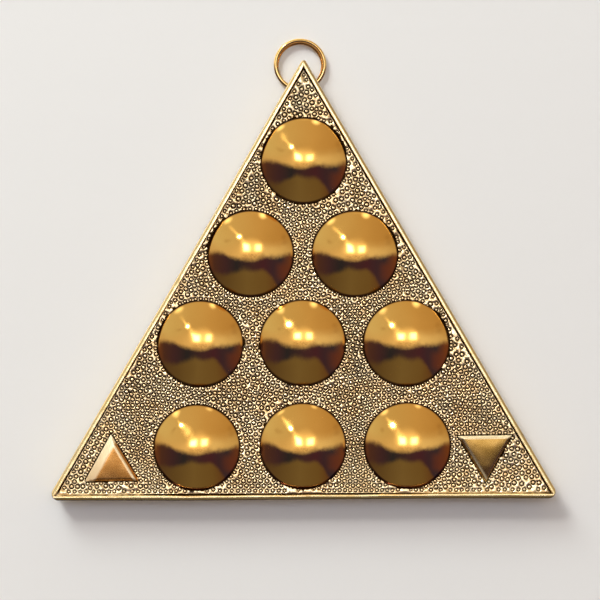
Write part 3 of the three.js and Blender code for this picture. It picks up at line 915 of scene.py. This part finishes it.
def build_dome(i, centre):
    sphere = (DOME_RADIUS**2 + DOME_RISE**2) / (2 * DOME_RISE)
    shift_u, shift_v, peak, lamp_u, lamp_v = DOME_FAULTS[i - 1]
    moved = vec2(lamp_u, lamp_v) * DOME_RADIUS
    vertices, faces = turned(dome_profile(sphere), (centre.x, FACE, centre.z), DOME_SIDES, -1)
    shaped, tarnish = [], []
    for x, y, z in vertices:
        dx, dz = x - centre.x, z - centre.z
        height = FACE - y
        if height > 0.2:
            y -= 0.012 * wobble(x, i, z, 7, 1.0 * i) * min(1.0, height / 2)
            off = (shift_u * dx + shift_v * dz) * DOME_RADIUS - peak * (dx * dx + dz * dz) / 2
            y -= off / sphere * max(0.0, 1 - (dx * dx + dz * dz) / DOME_RADIUS**2) ** 2 - 0.04
            away = vec2(dx, dz) - LAMP_PLACE * DOME_RADIUS - moved
            uneven = away.dot(moved) - 0.35 * away.length_squared * min(1.0, moved.length)
            y -= uneven / sphere * math.exp(-away.length_squared / (2 * LAMP_REACH**2))
        shaped.append((x, max(y, FACE - DOME_RISE), z))
        # Painted shade: the band at the foot widens towards the bottom of each dome, most on the lowest row
        wider = (LOW_ROW_BOTTOM_SHADE if i > 6 else OTHER_ROWS_BOTTOM_SHADE) * max(0.0, -dz / DOME_RADIUS) ** 3
        tarnish.append(clamp((math.hypot(dx, dz) - DOME_RADIUS + FOOT_TARNISH_AND_SHADE + wider) / 0.2))
    add_piece(
        f"dome_{i}_skin", shaped, faces, DOME_BRASS, "dome_brass", f"dome_{i}", sharp_angle=30, tarnish=tarnish
    )


# Raised triangles. foot is the height of the upright edge below the filed sides. widths are those
# of the filed sides: across from the tip, then from the next two corners. A painted highlight is given
# for each of them and for its inner arris, at its two ends: how brightly it is painted.
BOSS_SHAPES = {
    "triangle_up": dict(
        foot=0.4, rise=1.1, crown=0.35, droop=0.0, widths=(0.8, 1.2, 3.2),
        rubbed=((0, 0, 0, 0), (0.1, 0, 1, 1), (1, 0.45, 1, 0.45)), material=SATIN_BRASS_PAINTED_RED_REFLECTION,
    ),
    "triangle_down": dict(
        foot=0.3, rise=0.9, crown=0.7, droop=0.85, widths=(0.7, 1.1, 0.6),
        rubbed=((1, 1, 1, 1), (0, 0, 1, 0.2), (0, 0, 0.2, 0.1)), material=SATIN_BRASS_PAINTED_DARK_REFLECTION,
    ),
}
BOSS_STEPS = 60
BLUNT_FROM, BLUNTING = 0.9, 0.92  # share of the way to a corner where it starts to be blunted, and how much
ARRIS_SOFTNESS = 0.6


def arris_height(share):
    """Height at a share of the way up a filed side, with a rounded arris at its top."""
    blend = max(ARRIS_SOFTNESS - abs(share - 1), 0.0) / ARRIS_SOFTNESS
    return min(share, 1.0) - blend * blend * ARRIS_SOFTNESS / 4


def build_boss(node, corners):
    steps = BOSS_STEPS
    shape = BOSS_SHAPES[node]
    centre = (corners[0] + corners[1] + corners[2]) / 3
    apothem = BOSS_SIDE / (2 * math.sqrt(3))
    vertices, rubbed, index = [], [], {}
    for i in range(steps + 1):
        for j in range(steps + 1 - i):
            k = steps - i - j
            p = (corners[0] * i + corners[1] * j + corners[2] * k) / steps
            depths = [weight * 3 * apothem / steps for weight in (i, j, k)]
            share = min(depth / width for depth, width in zip(depths, shape["widths"]))
            reach = (p - centre).length / (2 * apothem)
            if reach > BLUNT_FROM:
                p = centre + (p - centre) * (BLUNT_FROM + (reach - BLUNT_FROM) * BLUNTING) / reach
            swell = shape["crown"] * 27 * i * j * k / steps**3
            height = shape["foot"] + shape["rise"] * arris_height(share) + swell
            height -= shape["droop"] * max(0.0, (i / steps - 0.6) / 0.4) ** 2
            height += 0.02 * wobble(p.x, 0, p.y, 3.5, 3.0)
            index[i, j] = len(vertices)
            vertices.append((p.x, FACE - height, p.y))
            bright = 0.0
            for side, (depth, width) in enumerate(zip(depths, shape["widths"])):
                along = (i / steps if i else j / steps) if side else j / max(j + k, 1)
                near_tip, far, arris_near_tip, arris_far = shape["rubbed"][side]
                slope = (near_tip * along + far * (1 - along)) * clamp((width - depth) / 0.3)
                arris = max(0.0, 1 - (depth - width) / 1.0 if depth > width else 1 - (width - depth) / 0.5)
                bright = max(bright, slope, (arris_near_tip * along + arris_far * (1 - along)) * arris)
            rubbed.append(bright)
    faces = []
    for i in range(steps):
        for j in range(steps - i):
            faces.append((index[i, j], index[i + 1, j], index[i, j + 1]))
            if i + j < steps - 1:
                faces.append((index[i + 1, j], index[i + 1, j + 1], index[i, j + 1]))
    rim = [index[0, j] for j in range(steps)]
    rim += [index[i, steps - i] for i in range(steps)]
    rim += [index[i, 0] for i in range(steps, 0, -1)]
    close_behind(vertices, faces, rim, FACE + 0.02)
    rubbed += [0.0] * len(rim)
    add_piece(
        node + "_cap", vertices, faces, shape["material"], "satin_brass", node, sharp_angle=36, rubbed=rubbed
    )


# Ring, strap, nails and tacks
def build_ring():
    """The wire, with a second turn inside it that is thick at the top right and fades to the lower left."""
    centre = node_centre("hanging_ring")
    across = Vector((0, 1, 0))
    steps, sides = 180, 32
    vertices, second_turn = [], []
    for i in range(steps):
        a = math.tau * i / steps
        out = Vector((math.cos(a), 0, math.sin(a)))
        thin = 0.985 + 0.012 * math.sin(3 * a + 1) + 0.006 * math.sin(11 * a)
        seam = 0.05 * math.exp(-(((a - 3 * math.pi / 2) / 0.05) ** 2))
        doubled = min(0.85, max(0.0, 0.42 + 0.48 * math.sin(a) + 0.10 * math.cos(a)))
        for k in range(sides):
            b = math.tau * k / sides
            radius = WIRE_RADIUS * min(thin - seam, 0.999)
            outwards = math.sin(b)
            if outwards < 0:
                radius *= 1 - 0.22 * doubled * math.exp(-(((outwards + 0.3) / 0.16) ** 2))
                outwards *= 1 + doubled
            second_turn.append(clamp(-outwards - 0.05) * min(1.0, doubled * 2))
            vertices.append(centre + out * RING_RADIUS + across * radius * math.cos(b) + out * radius * outwards)
    faces = grid_faces(steps, sides, True, True)
    add_piece(
        "ring_wire", vertices, faces, WIRE_BRASS, "ring_brass", "hanging_ring", "ring", second_turn=second_turn
    )


def build_strap():
    """The strip up the board, round the eye and back down on itself."""
    low, high = node_box("hanger_strap")
    middle_x = (low.x + high.x) / 2
    loop_radius = EYE_RADIUS + STRAP_LAYER
    path_radius = EYE_RADIUS + STRAP_LAYER / 2
    eye = Vector((middle_x, BOARD_BACK + loop_radius, high.z - loop_radius))
    tail_z = low.z + 0.03
    front_y = BOARD_BACK + STRAP_LAYER / 2
    back_y = BOARD_BACK + 1.5 * STRAP_LAYER + 0.04
    points = [Vector((middle_x, front_y, tail_z + (eye.z - tail_z) * k / 9)) for k in range(9)]
    meet = math.acos((back_y - eye.y) / path_radius)
    steps = 40
    for k in range(steps + 1):
        a = math.pi + (-meet - math.pi) * k / steps
        points.append(eye + path_radius * Vector((0, math.cos(a), math.sin(a))))
    last = points[-1].z
    points += [Vector((middle_x, back_y, last + (tail_z + 0.25 - last) * k / 8)) for k in range(1, 9)]

    edge_radius = 0.16
    half_width, half_layer = STRAP_WIDTH / 2 - edge_radius, STRAP_LAYER / 2 - edge_radius
    section = []
    for sign_a, sign_b, start in ((1, 1, 0), (-1, 1, 90), (-1, -1, 180), (1, -1, 270)):
        for k in range(4):
            a = math.radians(start + 30 * k)
            section.append(
                (sign_a * half_width + edge_radius * math.cos(a), sign_b * half_layer + edge_radius * math.sin(a))
            )
    across = Vector((1, 0, 0))
    vertices = []
    for k, p in enumerate(points):
        ahead = points[min(k + 1, len(points) - 1)] - points[max(k - 1, 0)]
        out = across.cross(ahead.normalized())
        vertices.extend(p + across * a + out * b for a, b in section)
    rows, around = len(points), len(section)
    faces = grid_faces(rows, around, close_columns=True)
    faces.append(tuple(reversed(range(around))))
    faces.append(tuple((rows - 1) * around + k for k in range(around)))
    add_piece("strap_strip", vertices, faces, STRAP_BRASS, "strap_brass", "hanger_strap", sharp_angle=50)


def build_nail(node, head_radius, head_height, shank_radius):
    low, high = node_box(node)
    seat = high.y - head_height
    length = seat - low.y
    centre = ((low.x + high.x) / 2, seat, (low.z + high.z) / 2)
    profile = [(0, -length), (shank_radius, -length + 2 * shank_radius), (shank_radius, -0.05)]
    profile += [(head_radius * 0.96, 0.0), (head_radius, 0.05 * head_height)]
    steps = 7
    for i in range(1, steps + 1):
        a = math.pi / 2 * i / steps
        profile.append((head_radius * math.cos(a) if i < steps else 0, head_height * math.sin(a)))
    vertices, faces = turned(profile, centre, 28, 1)
    add_piece(node + "_turned", vertices, faces, NAIL_BRASS, "nail_brass", node, sharp_angle=50)


# Felt
def build_felt():
    low, high = node_box("back_felt")
    inset = LIP_WIDTH + FELT_LIP_GAP
    left_foot = point_inside(BOTTOM, LEFT_SIDE, inset)
    right_foot = point_inside(BOTTOM, RIGHT_SIDE, inset)

    def on_side(side, z):
        share = (z - side.start.y - inset * side.inward.y) / side.along.y
        return side.start + side.inward * inset + side.along * share

    left_top, right_top = on_side(LEFT_SIDE, high.z), on_side(RIGHT_SIDE, high.z)
    middle = vec2(0, -10)
    edge_drops = (0.35, 0.06)  # of the outermost rows
    columns, rows = 97, 81
    vertices = []
    for i in range(rows):
        v = i / (rows - 1)
        for j in range(columns):
            u = j / (columns - 1)
            p = left_foot.lerp(right_foot, u).lerp(left_top.lerp(right_top, u), v)
            edge = min(i, rows - 1 - i, j, columns - 1 - j)
            if edge == 0:
                p = p + (middle - p).normalized() * (0.12 + 0.12 * wobble(p.x, 0, p.y, 3, 1.0))
            nap = 0.05 + 0.04 * wobble(p.x, 0, p.y, 2.5, 7.0) + 0.04 * wobble(p.x, 0, p.y, 14, 2.0)
            drop = edge_drops[edge] if edge < len(edge_drops) else 0.0
            vertices.append((p.x, -max(nap, 0.0) - drop, p.y))
    faces = grid_faces(rows, columns)
    rim = list(range(columns))
    rim += [i * columns + columns - 1 for i in range(1, rows)]
    rim += [(rows - 1) * columns + j for j in range(columns - 2, -1, -1)]
    rim += [i * columns for i in range(rows - 2, 0, -1)]
    close_behind(vertices, faces, rim, BOARD_BACK + 0.01)
    piece = add_piece("felt_backing", vertices, faces, FELT_CLOTH, "felt", "back_felt")
    width, length = (high.x - low.x) * MM, (high.z - low.z) * MM
    area = 0.5 * ((right_foot - left_foot).length + (right_top - left_top).length) * MM * length


build_ground()
for rim_side in SIDES:
    build_rim(rim_side)
for number, dome_centre in enumerate(DOMES, 1):
    build_dome(number, dome_centre)
for boss_node, boss_plan in BOSSES.items():
    build_boss(boss_node, boss_plan)
build_ring()
build_strap()
for number in range(1, 10):
    build_nail(f"rim_tack_{number}", *NAIL_SIZES["rim_tack"])
for number in (1, 2):
    build_nail(f"strap_nail_{number}", *NAIL_SIZES["strap_nail"])
build_felt()
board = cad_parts["back_board"]
board.data.materials.clear()
board.data.materials.append(WOOD)


# Stage: a white wall behind and a pale floor below, which only the camera sees, from their front
def stage_plane(name, corners, colour):
    mesh = bpy.data.meshes.new(name)
    mesh.from_pydata([tuple(c * MM for c in p) for p in corners], [], [(0, 1, 2, 3)])
    plane = bpy.data.objects.new(name, mesh)
    bpy.context.scene.collection.objects.link(plane)
    n = Nodes(bpy.data.materials.new(name))
    streaks = n.noise(n.stretched(n.place(), (0.03, 1, 1)), 0.05, 3)
    paint = n.make("ShaderNodeBsdfDiffuse", {"Color": n.mix(streaks, tuple(c * 0.985 for c in colour), colour)})
    seen = n.make("ShaderNodeLightPath", output="Is Camera Ray")
    front = 1.0 - n.make("ShaderNodeNewGeometry", output="Backfacing")
    clear = n.make("ShaderNodeBsdfTransparent")
    blend = n.make("ShaderNodeMixShader", {0: seen * front, 1: clear, 2: paint})
    n.make("ShaderNodeOutputMaterial", {0: blend})
    mesh.materials.append(n.owner)


WALL_Y = 3.6
FLOOR_Z = -420
REACH = 4000
stage_plane(
    "wall",
    [(-REACH, WALL_Y, FLOOR_Z), (REACH, WALL_Y, FLOOR_Z), (REACH, WALL_Y, REACH), (-REACH, WALL_Y, REACH)],
    (0.748, 0.728, 0.695),
)
stage_plane(
    "floor",
    [(-REACH, -REACH, FLOOR_Z), (REACH, -REACH, FLOOR_Z), (REACH, REACH, FLOOR_Z), (-REACH, REACH, FLOOR_Z)],
    (0.56, 0.56, 0.555),
)


# Light
def build_world():
    """The room that the metal mirrors.

    Each direction is named by where a dome shows it: u to the right and v up, in dome radii."""
    world = bpy.data.worlds.new("room")
    bpy.context.scene.world = world
    n = Nodes(world)
    direction = n.make("ShaderNodeTexCoord", output="Generated")
    x, y, z = n.axes(direction)
    stretch = n.math("SQRT", 0.9 - y * 0.9)
    u, v = x / stretch, z / stretch
    across = u * 0.5 + 0.5

    def drift(scale, seed, detail=2.0):
        inputs = {"Vector": direction, "Scale": scale, "Detail": detail, "W": seed}
        return n.make("ShaderNodeTexNoise", inputs, noise_dimensions="4D") - 0.5

    def patch(centre_u, centre_v, half_u, half_v, soft):
        """1 inside an upright rectangle with soft edges, 0 outside."""
        wide = n.span(abs(u - centre_u), half_u - soft, half_u + soft, 1.0, 0.0)
        return wide * n.span(abs(v - centre_v), half_v - soft, half_v + soft, 1.0, 0.0)

    def spot(centre_u, centre_v, radius, soft):
        """1 inside a disc with a soft edge, 0 outside."""
        du, dv = u - centre_u, v - centre_v
        return n.span(n.math("SQRT", du * du + dv * dv), radius - soft, radius + soft, 1.0, 0.0)

    # Ceiling and walls, warmer and darker to the right, paler just above the horizon
    high = n.ramp(
        across, (0.05, (0.74, 0.80, 0.80)), (0.35, (0.68, 0.63, 0.53)), (0.6, (0.65, 0.54, 0.40)),
        (0.88, (0.55, 0.42, 0.27)), (1.0, (0.50, 0.40, 0.28)), ease=False,
    )
    low = n.ramp(
        across, (0.0, (0.64, 0.58, 0.52)), (0.25, (0.76, 0.70, 0.64)), (0.42, (0.98, 0.92, 0.84)),
        (0.62, (0.93, 0.93, 0.92)), (0.8, (0.80, 0.78, 0.76)), (0.95, (0.68, 0.65, 0.62)), ease=False,
    )
    tone = n.mix(n.span(v + drift(1.6, 7.0) * 0.5, 0.02, 0.42), low, high)

    # Floor, browner at the sides
    floor = n.ramp(
        across, (0.06, (0.095, 0.075, 0.09)), (0.22, (0.125, 0.11, 0.10)), (0.45, (0.185, 0.172, 0.15)),
        (0.68, (0.165, 0.14, 0.11)), (0.82, (0.13, 0.075, 0.07)), (1.0, (0.13, 0.055, 0.06)), ease=False,
    )
    # Furniture between them, nearly black with red, blue and purple in it
    band = n.ramp(
        across, (0.02, (0.15, 0.075, 0.07)), (0.08, (0.080, 0.048, 0.09)), (0.2, (0.055, 0.036, 0.12)),
        (0.32, (0.026, 0.034, 0.11)), (0.5, (0.058, 0.038, 0.12)), (0.66, (0.066, 0.030, 0.12)),
        (0.86, (0.036, 0.040, 0.15)), (0.97, (0.17, 0.075, 0.07)), ease=False,
    )
    horizon = n.curve(
        u, (-1.0, 0.06), (-0.93, 0.05), (-0.66, 0.035), (-0.5, -0.03), (-0.27, -0.10), (-0.1, -0.13),
        (0.1, -0.12), (0.27, -0.07), (0.7, -0.04), (0.88, 0.0), (1.0, 0.03),
    )
    skirting = n.curve(
        u, (-1.0, -0.38), (-0.88, -0.40), (-0.6, -0.45), (-0.38, -0.40), (-0.17, -0.34), (0.1, -0.40),
        (0.32, -0.39), (0.45, -0.48), (0.56, -0.64), (0.66, -0.80), (1.0, -0.95),
    )
    level = v + (drift(5, 4.0, 3) * 0.10 + drift(16, 2.0, 2) * 0.07)
    below = n.span(level - horizon, -0.08, 0.085, 1.0, 0.0)
    on_floor = n.span(level - skirting, -0.10, 0.08, 1.0, 0.0)
    band = n.mix(patch(0.76, -0.42, 0.13, 0.20, 0.11) * 0.6, band, (0.16, 0.058, 0.07))
    dark = n.mix(on_floor, band, floor)

    # Glow over the horizon, then what stands in it
    tone = n.mix(spot(0.02, 0.14, 0.17, 0.17) * 0.55, tone, (2.1, 1.98, 1.8))
    speckle = n.span(drift(26, 9.0, 2), 0.02, 0.10)
    cluttered = patch(0.04, -0.03, 0.28, 0.085, 0.07) * (speckle * 0.45 + 0.35)
    tone = n.mix(cluttered, tone, (0.25, 0.16, 0.12))
    for place_u, place_v, size in ((-0.55, 0.33, 0.035), (0.76, 0.41, 0.05), (0.79, 0.28, 0.06)):
        tone = n.mix(spot(place_u, place_v, size, size) * 0.35, tone, (0.35, 0.25, 0.15))
    tone = n.mix(below, tone, dark)

    # The lamp, with a streak from it to the windows and a tail away from them
    lamp_u, lamp_v = -0.325, 0.445
    streak_u, streak_v = 0.632, 0.775  # its direction, to the right and down
    du, dv = u - lamp_u, v - lamp_v
    along = du * streak_u - dv * streak_v
    beside = abs(du * streak_v + dv * streak_u)
    streak = n.span(beside, 0.0, 0.13, 1.0, 0.0) * n.span(along, -0.02, 0.06)
    streak = streak * n.span(along, 0.28, 0.38, 1.0, 0.0) * n.span(drift(14, 5.0, 2), -0.14, 0.10, 0.35, 1.0)
    tone = n.mix(streak * 0.5, tone, (2.3, 2.2, 1.9))
    tail = n.span(beside, 0.0, 0.05, 1.0, 0.0) * n.span(along, 0.0, 0.04, 1.0, 0.0) * n.span(along, -0.27, -0.02)
    tone = n.mix(tail * 0.9, tone, (2.6, 2.45, 2.1))
    tone = n.mix(spot(lamp_u, lamp_v, 0.078, 0.058), tone, (3.0, 2.9, 2.8))
    tone = n.mix(spot(lamp_u, lamp_v, 0.036, 0.028), tone, (80, 79, 80))

    # The windows, which are bluer, and two lights on the ceiling
    window_v = 0.156
    for centre_u, half, strength in ((-0.134, 0.088, 6.0), (0.160, 0.094, 4.4)):
        tone = n.mix(spot(centre_u, 0.15, 0.14, 0.09) * 0.3, tone, (2.3, 2.15, 1.9))
        tone = n.mix(patch(centre_u, window_v, half, 0.088, 0.045), tone, (2.7, 2.5, 2.2))
        pane = tuple(strength * part for part in (0.95, 1.0, 1.25))
        tone = n.mix(patch(centre_u, window_v, half * 0.78, 0.069, 0.036), tone, pane)
    for place_u, place_v, radius, soft in ((-0.53, 0.78, 0.085, 0.07), (0.27, 0.92, 0.075, 0.06)):
        tone = n.mix(spot(place_u, place_v, radius, soft) * 0.9, tone, (2.4, 2.5, 2.6))

    # Far to the side, the room is bright from the upper left
    leaning = x * -0.64 + z * 0.77
    tone = n.mix(n.span(y, -0.22, -0.1) * n.span(leaning, 0.5, 0.8), tone, (1.7, 1.62, 1.45))

    # Behind the plaque: the wall, bright from above and on the left, darker below and right
    back = n.ramp(
        z * 0.5 + 0.5,
        (0.05, (0.18, 0.15, 0.12)), (0.42, (0.26, 0.22, 0.18)), (0.60, (0.80, 0.78, 0.74)), (0.95, (1.15, 1.12, 1.06)),
        ease=False,
    )
    back = n.mix(n.span(leaning, 0.55, 0.85), back, (2.6, 2.5, 2.3))
    tone = n.mix(n.span(y, -0.02, 0.3), tone, back)

    # Past the stage a camera sees a plain pale background
    seen = n.make("ShaderNodeLightPath", output="Is Camera Ray")
    background = n.make("ShaderNodeBackground", {0: n.mix(seen, tone, (0.80, 0.79, 0.77))})
    n.make("ShaderNodeOutputWorld", {0: background})


def area_lamp(name, place, size, watts, colour):
    """A round lamp that shines at the plaque and isn't seen in the metal."""
    data = bpy.data.lights.new(name, "AREA")
    data.shape = "DISK"
    data.size = size
    data.energy = watts
    data.color = colour
    lamp = bpy.data.objects.new(name, data)
    lamp.location = place
    lamp.rotation_euler = (-Vector(place)).to_track_quat("-Z", "Y").to_euler()
    lamp.visible_glossy = False
    bpy.context.scene.collection.objects.link(lamp)


build_world()
area_lamp("key", (-0.92, -0.95, 1.37), 0.60, 4.0, (0.92, 0.99, 1.0))
area_lamp("soft_key", (-0.76, -1.08, 1.38), 0.95, 18.0, (0.88, 0.98, 1.0))

# Camera, at the photograph's height and distance
CAMERA_X, CAMERA_Z = -1.62, 23.83
CAMERA_DISTANCE = 1300
RIM_PLANE = FACE - 1.2
FRAME_WIDTH = 270
SENSOR_WIDTH = 36
camera_data = bpy.data.cameras.new("camera")
camera = bpy.data.objects.new("camera", camera_data)
bpy.context.scene.collection.objects.link(camera)
camera.location = (CAMERA_X * MM, (RIM_PLANE - CAMERA_DISTANCE) * MM, CAMERA_Z * MM)
camera.rotation_euler = (math.pi / 2, 0, 0)
camera_data.sensor_width = SENSOR_WIDTH
camera_data.lens = SENSOR_WIDTH * CAMERA_DISTANCE / FRAME_WIDTH
camera_data.clip_start = 0.05
camera_data.clip_end = 20
bpy.context.scene.camera = camera
bpy.context.scene.view_settings.view_transform = "Standard"
